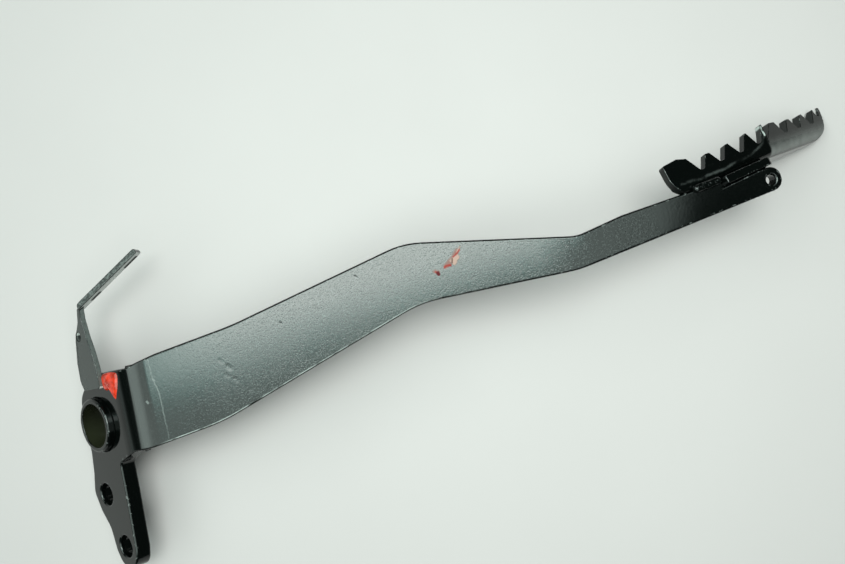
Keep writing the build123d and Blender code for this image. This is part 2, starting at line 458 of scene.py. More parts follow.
@dataclass(frozen=True)
class Finish:
    """Gloss paint on steel, with orange peel and a little dust.

    Attributes:
        name: The material's name.
        colour, rough: Colour and roughness of the clean paint.
        peel, peel_depth: Grain of the orange peel, and its depth in millimetres.
        pore, pore_depth: Pattern of the fine pores, and their depth in millimetres.
        fine, fine_rough: Fine grain, cut where dust holds, and how far it changes the roughness.
        cloud, cloud_rough: The same of wide clouds, cut where dust lies.
        dust, dust_colour: Share and colour of the pale dust.
    """

    name: str
    colour: Colour = (0.0013, 0.0019, 0.0017)
    rough: float = 0.075
    peel: Grain = Grain(1.0)
    peel_depth: float = 0.005
    pore: Grain = Grain(0.52, 1.0, (0.5, 0.75))
    pore_depth: float = 0.007
    fine: Grain = Grain(0.7, 2.0, (0.56, 0.78))
    fine_rough: float = 0.04
    cloud: Grain = Grain(28.0, 3.0, (0.35, 0.7))
    cloud_rough: float = 0.08
    dust: float = 0.01
    dust_colour: Colour = (0.36, 0.38, 0.37)

    def height(self, graph: Graph) -> Value:
        """Height of the paint's surface in millimetres."""
        return self.peel.noise(graph) * self.peel_depth - self.pores(graph)

    def pores(self, graph: Graph) -> Value:
        """Depth of the paint's fine pores in millimetres."""
        return self.pore.patches(graph) * self.pore_depth

    def shade(self, graph: Graph) -> Sockets:
        """Sockets of the finish's shader.

        Args:
            graph: The material's graph.

        Returns:
            The inputs of its Principled shader.
        """
        fine = self.fine.noise(graph)
        cloud = self.cloud.noise(graph)
        dusty = fine.ramp(*self.fine.cut) * cloud.ramp(*self.cloud.cut) * self.dust
        clouded = self.rough + (cloud - NOISE_MIDDLE) * self.cloud_rough
        return {
            "Base Color": graph.mix(dusty, self.colour, self.dust_colour),
            "Roughness": clouded + (fine - NOISE_MIDDLE) * self.fine_rough,
            "Normal": graph.bump(self.height(graph)),
        }

    def make(self) -> bpy.types.Material:
        """Make the material.

        Returns:
            The material with its shader.
        """
        material = bpy.data.materials.new(self.name)
        material.use_nodes = True
        graph = Graph(material.node_tree)
        shader = graph.node("ShaderNodeBsdfPrincipled", None, self.shade(graph))
        graph.output("ShaderNodeOutputMaterial", shader.outputs[0])
        return material


@dataclass(frozen=True)
class Mark:
    """A stroke of colour on a painted face.

    Attributes:
        line: Middle line of the stroke, in the arm's frame.
        width, solid: Distances from the line where the stroke ends and up to which it is full.
        cover, colour: Share of the paint that it hides, and its colour.
    """

    line: tuple[Spot, ...]
    width: float
    solid: float
    cover: float
    colour: Colour


RED: Colour = (0.3, 0.022, 0.016)
PINK: Colour = (0.38, 0.15, 0.12)
CREAM: Colour = (0.47, 0.3, 0.255)
DARK_RED: Colour = (0.085, 0.003, 0.006)
BROWN: Colour = (0.075, 0.035, 0.018)
PIT: Colour = (0.004, 0.004, 0.004)
PALE: Colour = (0.36, 0.39, 0.38)


@dataclass(frozen=True)
class ArmFinish(Finish):
    """The arm's paint, with its scratch, its scrape of red paint and its small dents.

    Attributes:
        face, upward: Height and upward look where the upper face ends.
        wander: Grain by which lines wander.
        scratch: Long pale scratch across the arm close to the bend.
        scratch_fade, scratch_least: Where across the arm it comes up, and from what share.
        specks, speck_run, speck_width: Pale specks, how each is drawn out, and how it fades out.
        marks: Strokes of the scrape of red paint and of the small marks, lowest first.
        mark_wander, mark_rough: How far marks wander along and across, and roughness they add.
        torn, torn_depth: Grain and depth of the marks' torn edges.
        dents, dent_run: Place, radius and depth of small dents, and how each is drawn out.
        speckle, speckle_coat: Pattern and look of the fine pale speckle.
        clean: Where pores and speckle end towards the tip.
        sparse, sparse_least: Where they come up from the bend, and from what share.
        fold_at, fold_angle: Place and angle in degrees of the fold towards the tip.
        fold_half, fold_ease: Half its length, and half the length over which it is seen to turn.
    """

    face: Span = (-1.4, -0.9)
    upward: Span = (0.88, 0.97)
    wander: Grain = Grain(2.2, 3.0)
    scratch: Scrape = Scrape(
        ((9.6, 20.1), (9.9, 14.0), (10.0, 12.4), (11.1, 8.3), (11.2, 1.4), (11.3, -8.5)),
        width=(0.34, 0.05),
        wander=(1.1, 0.0),
        breaks=Grain(3.4, 3.0, (0.26, 0.5)),
        coat=Coat(PALE, 0.3, 0.2),
    )
    scratch_fade: Span = (-12.0, 16.0)
    scratch_least: float = 0.25
    specks: tuple[Spot, ...] = ((6.4, 5.3), (10.0, 12.5))
    speck_run: Spot = (0.2, -0.4)
    speck_width: Span = (0.5, 0.3)
    marks: tuple[Mark, ...] = (
        Mark(((121.9, 34.1), (119.7, 31.7), (117.0, 29.6)), 1.25, 0.35, 0.5, PINK),
        Mark(((121.4, 32.1), (120.2, 30.2)), 1.05, 0.55, 0.9, CREAM),
        Mark(((123.1, 35.2), (121.7, 33.7)), 0.45, 0.1, 0.6, CREAM),
        Mark(((120.2, 32.0), (119.0, 31.2)), 0.55, 0.2, 0.6, CREAM),
        Mark(((122.7, 34.2), (120.9, 32.8), (120.2, 32.3)), 0.42, 0.12, 0.9, RED),
        Mark(((118.6, 29.7), (117.3, 29.7), (116.6, 29.5)), 0.62, 0.2, 0.85, RED),
        Mark(((119.7, 31.7), (119.4, 30.4)), 0.42, 0.1, 0.85, BROWN),
        Mark(((113.9, 28.2), (113.0, 28.6)), 1.1, 0.2, 0.45, PINK),
        Mark(((113.9, 27.7), (113.3, 28.4)), 0.55, 0.2, 0.9, RED),
        Mark(((114.0, 27.5), (113.8, 27.9)), 0.75, 0.42, 0.97, DARK_RED),
        Mark(((85.4, 33.1), (86.1, 32.7)), 0.32, 0.08, 0.75, PIT),
        Mark(((56.9, 22.7), (57.3, 22.6)), 0.3, 0.08, 0.75, PIT),
    )
    mark_wander: Spot = (0.7, 0.6)
    mark_rough: float = 0.9
    torn: Grain = Grain(0.9)
    torn_depth: float = 0.5
    dents: tuple[tuple[float, float, float, float], ...] = (
        (34.0, 14.2, 1.1, 0.009),
        (36.3, 11.6, 1.4, 0.015),
        (37.8, 7.0, 1.2, 0.011),
        (35.1, 9.0, 1.0, 0.009),
        (85.7, 32.9, 0.6, 0.012),
        (57.0, 22.7, 0.5, 0.01),
    )
    dent_run: Spot = (0.6, -0.9)
    speckle: Grain = Grain(0.5, 1.0, (0.5, 0.7))
    speckle_coat: Coat = Coat(PALE, 0.08)
    clean: Span = (200.0, 184.0)
    sparse: Span = (0.0, 55.0)
    sparse_least: float = 0.4
    fold_at: float = 163.0
    fold_angle: float = 9.0
    fold_half: float = 3.5
    fold_ease: float = 14.0

    def pitted(self, graph: Graph) -> Value:
        """Where pores and speckle show: less at the bend, and not at the tip or on the walls.

        Args:
            graph: The material's graph.

        Returns:
            The share, from nought to one.
        """
        x, _, _ = graph.arm_place()
        upper = graph.facing(Z_AXIS).ramp(*self.upward)
        return upper * x.fade(self.sparse, self.sparse_least) * x.ramp(*self.clean)

    def pores(self, graph: Graph) -> Value:
        """Depth of the fine pores in millimetres."""
        return super().pores(graph) * self.pitted(graph)

    def height(self, graph: Graph) -> Value:
        """Height of the paint with its dents, in millimetres.

        Args:
            graph: The material's graph.

        Returns:
            The height.
        """
        x, y, _ = graph.arm_place()
        height = super().height(graph)
        run_x, run_y = self.dent_run
        for dent_x, dent_y, radius, depth in self.dents:
            line = ((dent_x, dent_y), (dent_x + run_x, dent_y + run_y))
            height = height - graph.stroke(x, y, line).ramp(radius, 0.0) * depth
        return height - self.eased_fold(x)

    def eased_fold(self, x: Value) -> Value:
        """Depth in millimetres by which the face is hollowed so that its fold turns slowly.

        Args:
            x: Place along the arm.

        Returns:
            The depth, nought beyond the fold's reach.
        """
        quarter = math.radians(self.fold_angle) / 4.0
        away = (x - self.fold_at).at_least(self.fold_at - x)
        far = (self.fold_ease - away.at_least(self.fold_half)).at_least(0.0)
        near = away.at_most(self.fold_half)
        bow = quarter * (1.0 / self.fold_half - 1.0 / self.fold_ease)
        return far * far * (quarter / self.fold_ease) + (self.fold_half**2 - near * near) * bow

    def scratched(self, graph: Graph, x: Value, y: Value, wander: Value) -> Value:
        """Where the long scratch and the specks show, from nought to one.

        Args:
            graph: The material's graph.
            x: Place along the arm.
            y: Place across the arm.
            wander: Noise about nought.

        Returns:
            The share.
        """
        bared = self.scratch.share(graph, x, y, wander)
        bared = bared * y.fade(self.scratch_fade, self.scratch_least)
        run_x, run_y = self.speck_run
        for spot_x, spot_y in self.specks:
            spot = ((spot_x, spot_y), (spot_x + run_x, spot_y + run_y))
            fleck = graph.stroke(x + wander, y - wander, spot)
            bared = bared.at_least(fleck.ramp(*self.speck_width))
        return bared

    def shade(self, graph: Graph) -> Sockets:
        """Sockets of the arm's shader.

        Args:
            graph: The material's graph.

        Returns:
            The inputs of its Principled shader.
        """
        made = super().shade(graph)
        x, y, z = graph.arm_place()
        upper = z.ramp(*self.face)
        wander = self.wander.wander(graph)
        self.speckle_coat.lay(graph, made, self.speckle.patches(graph) * self.pitted(graph))
        self.scratch.coat.lay(graph, made, self.scratched(graph, x, y, wander) * upper)
        torn = self.torn.wander(graph) * self.torn_depth
        wander_x, wander_y = self.mark_wander
        hidden: Value | float = 0.0
        for mark in self.marks:
            off = graph.stroke(x + wander * wander_x, y - wander * wander_y, mark.line) + torn
            share = off.ramp(mark.width, mark.solid) * upper * mark.cover
            made["Base Color"] = graph.mix(share, made["Base Color"], mark.colour)
            hidden = share.at_least(hidden)
        made["Roughness"] = made["Roughness"] + hidden * self.mark_rough
        return made


@dataclass(frozen=True)
class PadFrame:
    """The foot pad's corner and axes in the arm's frame.

    Attributes:
        corner, near_l: Outside corner between the rims, at their top, and the near rim's length.
        near, outer: Each rim's turn in the arm's face and drop below it, in degrees.
    """

    corner: tuple[float, float, float] = (239.0, 55.6, -20.2)
    near_l: float = 44.0
    near: Spot = (11.6, 20.0)
    outer: Spot = (7.7, 41.5)

    def along(self, turned: Spot) -> Vector:
        """Unit vector along a rim.

        Args:
            turned: The rim's turn and drop in degrees.

        Returns:
            The vector in the arm's frame.
        """
        yaw, drop = math.radians(turned[0]), math.radians(turned[1])
        flat = Vector((math.cos(yaw), math.sin(yaw), 0.0)) * math.cos(drop)
        return flat - Z_AXIS * math.sin(drop)

    def upward(self) -> Vector:
        """Unit vector out of the tread, along the rims' teeth."""
        return self.along(self.near).cross(self.along(self.outer)).normalized()

    def outward(self, turned: Spot) -> Vector:
        """Unit vector out of a rim's outside."""
        return self.along(turned).cross(self.upward())

    def place(self, graph: Graph) -> tuple[Value, Value, Value]:
        """Point of the surface along the near and the outer rim and up the teeth, in millimetres.

        Args:
            graph: The material's graph.

        Returns:
            The three places.
        """
        corner = Vector(self.corner) - ARM_FRAME.pivot()
        near, outer, up = self.along(self.near), self.along(self.outer), self.upward()
        along = graph.along(near) - (near.dot(corner) - self.near_l)
        return along, graph.along(outer) - outer.dot(corner), graph.along(up) - up.dot(corner)


PAD_FRAME = PadFrame()


@dataclass(frozen=True)
class PadFinish(Finish):
    """The pad's paint, with a painted highlight along the bend under the near rim, a pale line at the
    rims' corner and a painted reflection of the floor on the outer rim.

    Attributes:
        streak_grain: Grain of the painted floor reflection's streaks, and by which lines wander.
        painted_fold_highlight, fold_highlight_facing: Painted highlight along the near rim's bend, and
        how far its face looks out.
        corner: Pale line down the edge of the near rim's last tooth.
        painted_floor_sheen, sheen_facing: Painted reflection of the floor on the outer rim, paler
            towards its foot, and how far its face looks out.
        sheen_along, sheen_up: Where along the rim it begins, and where it strengthens downwards.
        sheen_low, sheen_least: Its strength at the rim's foot, and what it has everywhere.
        sheen_even: What is added to the grain that thins it.
        wall_facing, wall_rough: How far a notch's wall looks back, and roughness that it adds.
    """

    streak_grain: Grain = Grain(4.0, 3.0)
    painted_fold_highlight: Scrape = Scrape(
        ((3.5, -7.6), (12.0, -8.6), (26.0, -8.6), (36.0, -7.8), (41.5, -6.2), (44.6, -3.2)),
        width=(0.8, 0.0),
        wander=(0.0, 1.4),
        breaks=Grain(5.0, 3.0, (0.36, 0.64)),
        coat=Coat((0.3, 0.32, 0.31), 0.14, 0.2),
    )
    fold_highlight_facing: Span = (0.35, 0.6)
    corner: Scrape = Scrape(
        ((44.4, 0.3), (44.4, -3.5)),
        width=(0.5, 0.2),
        wander=(0.5, 0.0),
        breaks=Grain(1.8, 2.0, (0.32, 0.5)),
        coat=Coat((0.55, 0.58, 0.56), 0.8, 0.2),
    )
    painted_floor_sheen: Coat = Coat((0.53, 0.51, 0.5), 0.11, 0.15)
    sheen_facing: Span = (0.3, 0.6)
    sheen_along: Span = (-0.2, 1.0)
    sheen_up: Span = (-2.5, -12.0)
    sheen_low: float = 4.0
    sheen_least: float = 0.05
    sheen_even: float = 0.4
    wall_facing: Span = (0.4, 0.7)
    wall_rough: float = 0.45

    def sheen_share(self, graph: Graph, outer: Value, up: Value) -> Value:
        """Strength of the painted floor reflection, which grows towards the rim's foot.

        Args:
            graph: The material's graph.
            outer: Place along the outer rim.
            up: Place up the teeth.

        Returns:
            The strength, nought off the outer rim's outside.
        """
        face = graph.facing(PAD_FRAME.outward(PAD_FRAME.outer)).ramp(*self.sheen_facing)
        rise = up.ramp(*self.sheen_up)
        thick = rise * rise * self.sheen_low + self.sheen_least
        return face * outer.ramp(*self.sheen_along) * thick * (self.streak_grain.noise(graph) + self.sheen_even)

    def shade(self, graph: Graph) -> Sockets:
        """Sockets of the pad's shader.

        Args:
            graph: The material's graph.

        Returns:
            The inputs of its Principled shader.
        """
        made = super().shade(graph)
        along, outer, up = PAD_FRAME.place(graph)
        wander = self.streak_grain.wander(graph)
        front = graph.facing(PAD_FRAME.outward(PAD_FRAME.near)).ramp(*self.fold_highlight_facing)
        # Painted reflection of the floor on the outer rim, paler towards its foot.
        self.painted_floor_sheen.lay(graph, made, self.sheen_share(graph, outer, up))
        # Painted highlight along the near rim's bend.
        self.painted_fold_highlight.coat.lay(graph, made, self.painted_fold_highlight.share(graph, along, up, wander) * front)
        self.corner.coat.lay(graph, made, self.corner.share(graph, along, up, wander))
        walls = graph.facing(-PAD_FRAME.along(PAD_FRAME.near)).ramp(*self.wall_facing)
        made["Roughness"] = made["Roughness"] + walls * self.wall_rough
        return made


@dataclass(frozen=True)
class TabFinish(Finish):
    """The tab's thin satin paint, with pale sheared edges, partly bare metal and partly painted
    highlight, and a painted reflection of the floor on its strip's side.

    Attributes:
        grain: Grain of the bare and speckled metal.
        strip_start, strip_end: Corner where the strip leaves the tab, and its free end.
        side, reflecting_side_facing: Painted reflection of the floor on the strip's pale side, and how
            far that side looks out.
        chips, dark_span_end: Dark patches along the strip's lower edge, and over what length each ends.
        chip, dark_spans_below: Look of the patches, and the heights between which they begin.
        hole, hole_clear: The tab's small hole, drawn out a little, and where the pale sheared edge
            begins.
        sheared, sheared_facing: Look of a sheared edge, bare metal and painted highlight, and how far
            it looks up the plate.
        sheared_cut, sheared_least: Where in the grain it shows, and from what share.
        top_facing, top_cut: How far the strip's top looks up, and the cut of its grain.
        top_dark, top_pale: Colours of the top's paint and of its bare specks.
        bare_rough: Roughness that bare metal adds.
    """

    colour: Colour = (0.03, 0.033, 0.032)
    rough: float = 0.28
    grain: Grain = Grain(0.8, 3.0)
    strip_start: Spot = (-13.0, 41.6)
    strip_end: Spot = (11.4, 57.3)
    side: Coat = Coat((0.66, 0.685, 0.66), 0.95)
    reflecting_side_facing: Span = (0.6, 0.8)
    chips: tuple[Spot, ...] = ((4.4, 9.0), (20.8, 27.0))
    dark_span_end: float = 0.5
    chip: Coat = Coat((0.003, 0.003, 0.003))
    dark_spans_below: Span = (-12.6, -13.8)
    hole: tuple[Spot, ...] = ((-14.9, 32.3), (-14.8, 32.3))
    hole_clear: Span = (1.9, 2.2)
    sheared: Coat = Coat((0.24, 0.26, 0.25), 0.4)
    sheared_facing: Span = (0.55, 0.8)
    sheared_cut: Span = (0.2, 0.62)
    sheared_least: float = 0.3
    top_facing: Span = (0.8, 0.95)
    top_cut: Span = (0.4, 0.66)
    top_dark: Colour = (0.012, 0.014, 0.013)
    top_pale: Colour = (0.11, 0.12, 0.115)
    bare_rough: float = 0.4

    def darkened_spans(self, along: Value, z: Value) -> Value:
        """Where the dark patches lie along the strip's lower edge.

        Args:
            along: Length from the strip's start.
            z: Height in the arm's frame.

        Returns:
            One in a patch, else nought.
        """
        patches: Value | float = 0.0
        for start, end in self.chips:
            begun = along.ramp(start, start + self.dark_span_end)
            patches = begun * along.ramp(end + self.dark_span_end, end) + patches
        return patches * z.ramp(*self.dark_spans_below)

    def shade(self, graph: Graph) -> Sockets:
        """Sockets of the tab's shader.

        Args:
            graph: The material's graph.

        Returns:
            The inputs of its Principled shader.
        """
        made = super().shade(graph)
        x, y, z = graph.arm_place()
        run = (Vector(self.strip_end) - Vector(self.strip_start)).normalized()
        along = (x - self.strip_start[0]) * run.x + (y - self.strip_start[1]) * run.y
        side = graph.facing(Vector((run.y, -run.x, 0.0))).ramp(*self.reflecting_side_facing)
        grain = self.grain.noise(graph)
        sheared = graph.facing(-ARM_FRAME.down_plate()).ramp(*self.sheared_facing)
        sheared = sheared * graph.stroke(x, y, self.hole).ramp(*self.hole_clear)
        sheared = sheared * grain.fade(self.sheared_cut, self.sheared_least)
        # Near-black patches along the strip's lower edge, cut out of its pale side.
        darkened_spans = side * self.darkened_spans(along, z)
        top = graph.facing(Z_AXIS).ramp(*self.top_facing)
        # Pale sheared edges: bare metal, and a painted highlight where they catch the light.
        self.sheared.lay(graph, made, sheared)
        # Painted reflection of the floor on the strip's side, broken by the dark patches.
        self.side.lay(graph, made, side - darkened_spans)
        self.chip.lay(graph, made, darkened_spans)
        speckle = graph.mix(grain.ramp(*self.top_cut), self.top_dark, self.top_pale)
        made["Base Color"] = graph.mix(top, made["Base Color"], speckle)
        dull = (sheared + top + darkened_spans).at_most(1.0)
        made["Roughness"] = made["Roughness"] + dull * self.bare_rough
        return made


@dataclass(frozen=True)
class TubeFinish(Finish):
    """The tube's paint, with an unpainted olive bore.

    Attributes:
        bore, bore_rough: Radius where the paint ends, and roughness that is added inside it.
        olive, thin_olive: Bright and dark colours of the bore's olive film and of its painted glint.
        smear, smear_share: Grain of the film's smears, and their share in it.
        ring, ring_wander: Grain by which the film's ring wanders, and how far in millimetres.
        ring_up, ring_share: Where up the bore the film thickens, and the share of that.
        low, painted_glint_share: Span across the plate over which a painted glint brightens the bore
            towards the lug, and its share.
    """

    bore: Span = (8.4, 8.2)
    bore_rough: float = 0.2
    olive: Colour = (0.021, 0.023, 0.012)
    thin_olive: Colour = (0.0021, 0.0023, 0.0012)
    smear: Grain = Grain(2.5, 3.0)
    smear_share: float = 0.3
    ring: Grain = Grain(9.0)
    ring_wander: float = 1.5
    ring_up: Span = (-6.0, 5.0)
    ring_share: float = 0.2
    low: Span = (6.5, -6.5)
    painted_glint_share: float = 0.6

    def shade(self, graph: Graph) -> Sockets:
        """Sockets of the tube's shader.

        Args:
            graph: The material's graph.

        Returns:
            The inputs of its Principled shader.
        """
        made = super().shade(graph)
        across, below = graph.along(Y_AXIS), graph.along(ARM_FRAME.down_plate())
        up = graph.along(ARM_FRAME.plate_normal())
        inside = (across * across + below * below).root().ramp(*self.bore)
        ringed = up + self.ring.noise(graph) * self.ring_wander
        film_and_glint = self.smear.noise(graph) * self.smear_share + ringed.ramp(*self.ring_up) * self.ring_share
        # Painted glint: the bore brightens across the plate towards the lug.
        film_and_glint = film_and_glint + across.ramp(*self.low) * self.painted_glint_share
        olive_film_and_glint = graph.mix(film_and_glint, self.thin_olive, self.olive)
        made["Base Color"] = graph.mix(inside, made["Base Color"], olive_film_and_glint)
        made["Roughness"] = made["Roughness"] + inside * self.bore_rough
        return made


@dataclass(frozen=True)
class WornEdge(Finish):
    """Cut edge where the paint has rubbed through to grey steel in places.

    Attributes:
        steel: Look of the bare steel.
        worn, rest: Share of bare steel on the most rubbed side, and in chips on the others.
        worn_from, worn_to: Where along the arm the rubbing begins and ends.
        rubbed, rubbed_facing: Direction that the most rubbed side faces, and how far.
        upward: How far bare steel looks out of the arm's or the plate's upper face.
        patch, patch_detail, patch_cut: Size of the rubbed patches, and how their noise is cut.
        chip: Pattern of the small chips.
    """

    steel: Coat = Coat((0.34, 0.355, 0.345), 1.0, 0.2)
    worn: float = 0.85
    rest: float = 0.5
    worn_from: Span = (6.0, 12.0)
    worn_to: Span = (137.0, 87.0)
    rubbed: tuple[float, float, float] = (-0.2, -0.97, 0.1)
    rubbed_facing: Span = (0.05, 0.2)
    upward: Span = (0.75, 0.9)
    patch: float = 5.0
    patch_detail: float = 4.0
    patch_cut: Span = (0.3, 0.58)
    chip: Grain = Grain(1.6, 2.0, (0.58, 0.68))

    def shade(self, graph: Graph) -> Sockets:
        """Sockets of the edge's shader.

        Args:
            graph: The material's graph.

        Returns:
            The inputs of its Principled shader.
        """
        made = super().shade(graph)
        x, _, _ = graph.arm_place()
        side = graph.facing(Vector(self.rubbed)).ramp(*self.rubbed_facing)
        side = side * x.ramp(*self.worn_from) * x.ramp(*self.worn_to)
        patches = Grain(self.patch, self.patch_detail, self.patch_cut).patches(graph)
        chips = self.chip.patches(graph)
        bare = side * patches * self.worn + (1.0 - side) * chips * self.rest
        upper = graph.facing(Z_AXIS).at_least(graph.facing(ARM_FRAME.plate_normal()))
        self.steel.lay(graph, made, bare * upper.ramp(*self.upward))
        return made


@dataclass(frozen=True)
class SealPaint(Finish):
    """Thick glossy red paint, as dabbed on to mark an inspected part.

    Attributes:
        wave, wave_depth: Grain of the dried paint's waves, and their depth in millimetres.
        thick: Pattern of the places where the paint is thick.
        deep: Colour of thick paint.
    """

    colour: Colour = (0.62, 0.035, 0.012)
    rough: float = 0.16
    wave: Grain = Grain(1.8)
    wave_depth: float = 0.06
    thick: Grain = Grain(3.0, 3.0, (0.62, 0.38))
    deep: Colour = (0.31, 0.0175, 0.006)

    def height(self, graph: Graph) -> Value:
        """Height of the dried paint's waves in millimetres."""
        return self.wave.noise(graph) * self.wave_depth

    def shade(self, graph: Graph) -> Sockets:
        """Sockets of the red paint's shader.

        Args:
            graph: The material's graph.

        Returns:
            The inputs of its Principled shader.
        """
        made = super().shade(graph)
        made["Base Color"] = graph.mix(self.thick.patches(graph), self.colour, self.deep)
        return made


@dataclass(frozen=True)
class FloorFinish(Finish):
    """Pale floor with a painted pool of light: it darkens a little away from the pedal.

    Attributes:
        light_pool_centre: Middle of the painted pool of light, the brightest place, in the arm's frame.
            reach, light_pool_fall: Distance over which the painted light fades, and the share lost
                there.
        cloud_fall: Share of light lost in the clouds.
    """

    colour: Colour = (0.518, 0.458, 0.462)
    rough: float = 0.5
    cloud: Grain = Grain(60.0, 3.0)
    cloud_rough: float = 0.05
    cloud_fall: float = 0.03
    light_pool_centre: Spot = (140.0, 45.0)
    reach: float = 420.0
    light_pool_fall: float = 0.36

    def shade(self, graph: Graph) -> Sockets:
        """Sockets of the floor's shader.

        Args:
            graph: The material's graph.

        Returns:
            The inputs of its Principled shader.
        """
        x, y, _ = graph.arm_place()
        # Painted pool of light: the floor darkens away from its brightest place; the clouds add random
        # tone.
        off_x, off_y = x - self.light_pool_centre[0], y - self.light_pool_centre[1]
        away = (off_x * off_x + off_y * off_y).root()
        cloud = self.cloud.noise(graph)
        painted_falloff_and_clouds = away.ramp(0.0, self.reach) * self.light_pool_fall + cloud * self.cloud_fall
        return {
            "Base Color": graph.mix(painted_falloff_and_clouds, self.colour, (0.0, 0.0, 0.0)),
            "Roughness": self.rough + cloud * self.cloud_rough,
        }


@dataclass
class SheetPart:
    """A CAD node of cut plate or sheet, dressed with paint and rounded edges.

    Attributes:
        node, finish: Name of the CAD node, and the paint of its faces.
        edge: Paint of its rounded edges, or None for the same paint.
        rounding, sharp: Radius in millimetres, nought for none, and which edges are rounded.
        joined, flat: Distance in millimetres within which the mesh's corners are one, and angle
            in degrees within which its faces are.
        segments, evenness: Strips of faces on a rounded edge, and how far large faces rule.
    """

    node: str
    finish: Finish
    edge: Finish | None = None
    rounding: float = 0.0
    sharp: Crease = Crease.PLATE
    joined: float = 0.02
    flat: float = 0.4
    segments: int = 3
    evenness: int = 100

    def dress(self, nodes: dict[str, bpy.types.Object]) -> str:
        """Paint the node and round its edges.

        Args:
            nodes: The frame's CAD nodes.

        Returns:
            The node's name.
        """
        part = nodes[self.node]
        part.data.materials.clear()
        part.data.materials.append(self.finish.make())
        if self.edge is not None:
            part.data.materials.append(self.edge.make())
        part.data.shade_smooth()
        joined = part.modifiers.new("joined_faces", "WELD")
        joined.merge_threshold = self.joined * MM
        if self.rounding > 0.0:
            self.round_edges(part)
        return self.node

    def round_edges(self, part: bpy.types.Object) -> None:
        """Round the part's cut edges and keep its flat faces evenly shaded.

        Args:
            part: The CAD node, with its corners joined.
        """
        flat = part.modifiers.new("whole_faces", "DECIMATE")
        flat.decimate_type = "DISSOLVE"
        flat.angle_limit = math.radians(self.flat)
        soft = part.modifiers.new("rounded_edges", "BEVEL")
        soft.use_clamp_overlap = False
        soft.width = self.rounding * MM
        soft.segments = self.segments
        soft.limit_method = "ANGLE"
        soft.angle_limit = math.radians(self.sharp.value)
        soft.material = 1 if self.edge is not None else -1
        even = part.modifiers.new("even_shading", "WEIGHTED_NORMAL")
        even.mode = "FACE_AREA"
        even.weight = self.evenness


@dataclass
class PaintDab:
    """Thick dab of red paint in the corner between the stop tab and the bend, with a run.

    Attributes:
        rim: Outline as lengths round the bend and places across the plate.
        centre, height: Middle of the dab, and its height there in millimetres.
        bulge: Power by which it falls off towards its rim.
        sink: Depth by which its rim lies under the face, in millimetres.
        thick_reach: Distance from the middle past which a run is thinner.
        rings: How many rings of points it has.
        roundings, cut: How often the outline's corners are cut, and by what share of a side.
        finish: The dab's paint.
    """

    rim: tuple[Spot, ...] = (
        (21.9, 17.6), (18.5, 17.9), (15.5, 17.8), (12.6, 17.5),
        (11.7, 16.6), (12.2, 14.4), (13.0, 12.1), (14.3, 9.9),
        (15.3, 8.0), (16.0, 8.3), (16.6, 10.2), (17.6, 11.9),
        (19.4, 11.7), (21.4, 11.6), (22.3, 13.2), (22.4, 15.6),
    )
    centre: Spot = (18.2, 14.9)
    height: float = 1.15
    bulge: float = 2.4
    sink: float = 0.06
    thick_reach: float = 4.2
    rings: int = 7
    roundings: int = 2
    cut: float = 0.25
    finish: SealPaint = SealPaint("red_seal_paint")

    def outline(self) -> list[Spot]:
        """Round the rim's corners.

        Returns:
            The rounded rim.
        """
        keep = 1.0 - self.cut
        spots = list(self.rim)
        for _ in range(self.roundings):
            rounded = []
            for (ax, ay), (bx, by) in zip(spots, spots[1:] + spots[:1]):
                rounded.append((ax * keep + bx * self.cut, ay * keep + by * self.cut))
                rounded.append((ax * self.cut + bx * keep, ay * self.cut + by * keep))
            spots = rounded
        return spots

    def point(self, spot: Spot, share: float) -> Vector:
        """Point of the dab's skin on the way from its middle to its rim.

        Args:
            spot: Point of the rim.
            share: Share of the way to it.

        Returns:
            The point in the row frame, in metres.
        """
        off_arc, off_y = spot[0] - self.centre[0], spot[1] - self.centre[1]
        lift = self.height * math.sqrt(max(0.0, 1.0 - share**self.bulge)) - self.sink * share
        if lift > 0.0:
            lift *= min(1.0, self.thick_reach / math.hypot(off_arc, off_y))
        return ARM_FRAME.on_bend(self.centre[0] + off_arc * share, self.centre[1] + off_y * share, lift)

    def build(self) -> bpy.types.Object:
        """Make the dab.

        Returns:
            The dab, riding on the pedal.
        """
        outline = self.outline()
        mesh = bmesh.new()
        loops = []
        for ring in range(1, self.rings + 1):
            share = ring / self.rings
            loops.append([mesh.verts.new(self.point(spot, share)) for spot in outline])
        top = mesh.verts.new(ARM_FRAME.on_bend(*self.centre, self.height))
        count = len(outline)
        for step in range(count):
            mesh.faces.new((top, loops[0][step], loops[0][(step + 1) % count]))
        for inner, outer in zip(loops, loops[1:]):
            for step in range(count):
                after = (step + 1) % count
                mesh.faces.new((inner[step], outer[step], outer[after], inner[after]))
        bmesh.ops.recalc_face_normals(mesh, faces=mesh.faces[:])
        data = bpy.data.meshes.new("red_paint_dab")
        mesh.to_mesh(data)
        mesh.free()
        data.shade_smooth()
        data.materials.append(self.finish.make())
        dab = bpy.data.objects.new("red_paint_dab", data)
        bpy.context.scene.collection.objects.link(dab)
        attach(dab, BODY)
        return dab


@dataclass(frozen=True)
class SkyPatch:
    """A bright part of the sky with soft sides, placed by slopes from the camera's axis.

    Attributes:
        glow: Its brightness.
        left, right, low, top: Spans over which it fades at each side.
        slant: Slope of its lower side across the picture.
    """

    glow: float
    left: Span
    right: Span
    low: Span
    top: Span
    slant: float = 0.0

    def share(self, across: Value, up: Value) -> Value:
        """Where it shines, from nought to one.

        Args:
            across: Slope of the sky's direction to the picture's right.
            up: Slope of it to the picture's top.

        Returns:
            The share.
        """
        sides = across.ramp(*self.left) * across.ramp(*self.right)
        return sides * (up - across * self.slant).ramp(*self.low) * up.ramp(*self.top)


